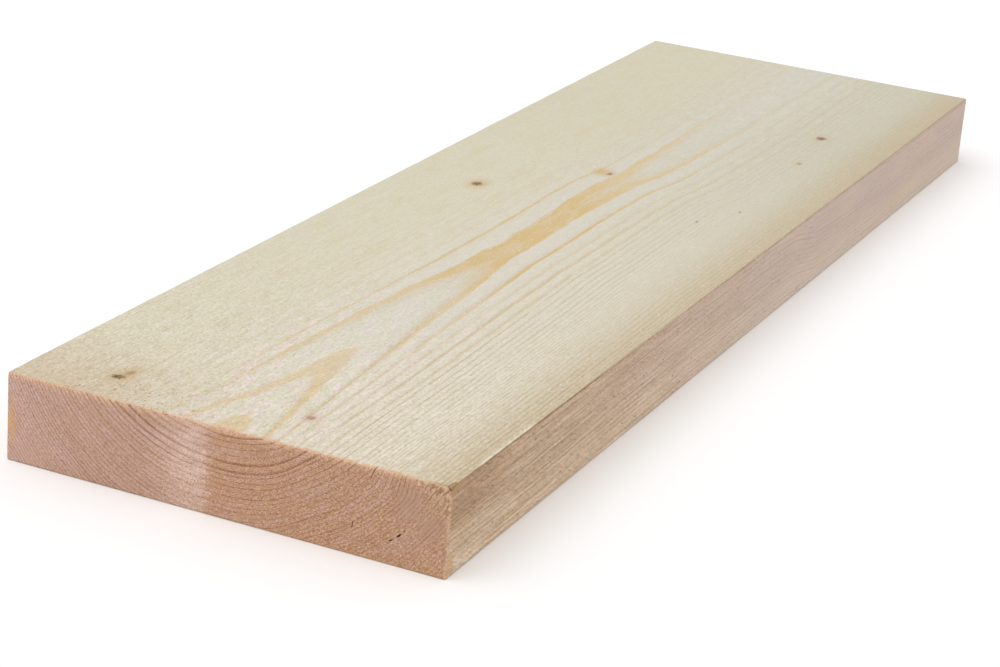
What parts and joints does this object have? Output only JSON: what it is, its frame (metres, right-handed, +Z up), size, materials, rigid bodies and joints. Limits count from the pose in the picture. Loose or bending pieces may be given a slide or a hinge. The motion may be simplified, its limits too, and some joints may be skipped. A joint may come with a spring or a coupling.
{
  "type": "wood cladding board",
  "caption": "Square-edged sawn softwood board for cladding a wall: a flat rectangular section with barely eased long edges and square sawn ends.",
  "frame": {"origin": "middle of the back face, which lies on the floor", "axes": "X across the board's width, Y along its length with the near end at -Y, Z up through its thickness"},
  "size_m": [0.145, 0.5, 0.028],
  "materials": {
    "board": "matte"
  },
  "bodies": {
    "root": {"board": "board"}
  },
  "joints": []
}
